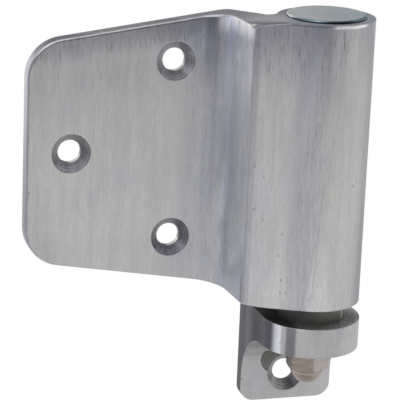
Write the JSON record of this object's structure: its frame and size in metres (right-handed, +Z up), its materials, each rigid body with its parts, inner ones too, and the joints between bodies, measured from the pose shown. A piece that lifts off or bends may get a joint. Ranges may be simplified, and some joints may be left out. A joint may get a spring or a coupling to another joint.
{
  "type": "cam lift hinge",
  "caption": "Cam lift door hinge: a tapered leaf with a round barrel turns on a pin over a jamb bracket's lug, and helical cams raise it as it opens.",
  "frame": {"origin": "on the jamb face, which is the back of the bracket's plate, level with the top of the lug and in line with the pin", "axes": "+Z up along the pin, +Y into the jamb and the door, the leaf reaches towards -X when the door is shut"},
  "size_m": [0.1022, 0.0362, 0.1294],
  "materials": {
    "cast_aluminium": "brushed casting",
    "zinc_plate": "bright zinc plate",
    "pin_steel": "turned",
    "bronze": "satin",
    "cam_nylon": "moulded"
  },
  "bodies": {
    "jamb": {"jamb_bracket": "cast_aluminium", "hinge_pin": "pin_steel", "cap_nut": "bronze", "lower_cam": "cam_nylon", "retaining_nut": "pin_steel"},
    "riser": {"retaining_washer": "pin_steel"},
    "door": {"door_strap": "cast_aluminium", "upper_cam": "cam_nylon", "upper_bush": "cam_nylon", "barrel_plug": "zinc_plate"}
  },
  "joints": [
    {"name": "lift", "type": "slide", "parent": "jamb", "child": "riser", "axis": [0, 0, 1], "range_m": [0, 0.0118]},
    {"name": "swing", "type": "hinge", "parent": "riser", "child": "door", "pos_m": [0, -0.0209, 0], "axis": [0, 0, 1], "range_deg": [0, 110]}
  ],
  "couplings": [
    {"joint": "lift", "follows": "swing", "m_per_rad": 0.0060479}
  ]
}
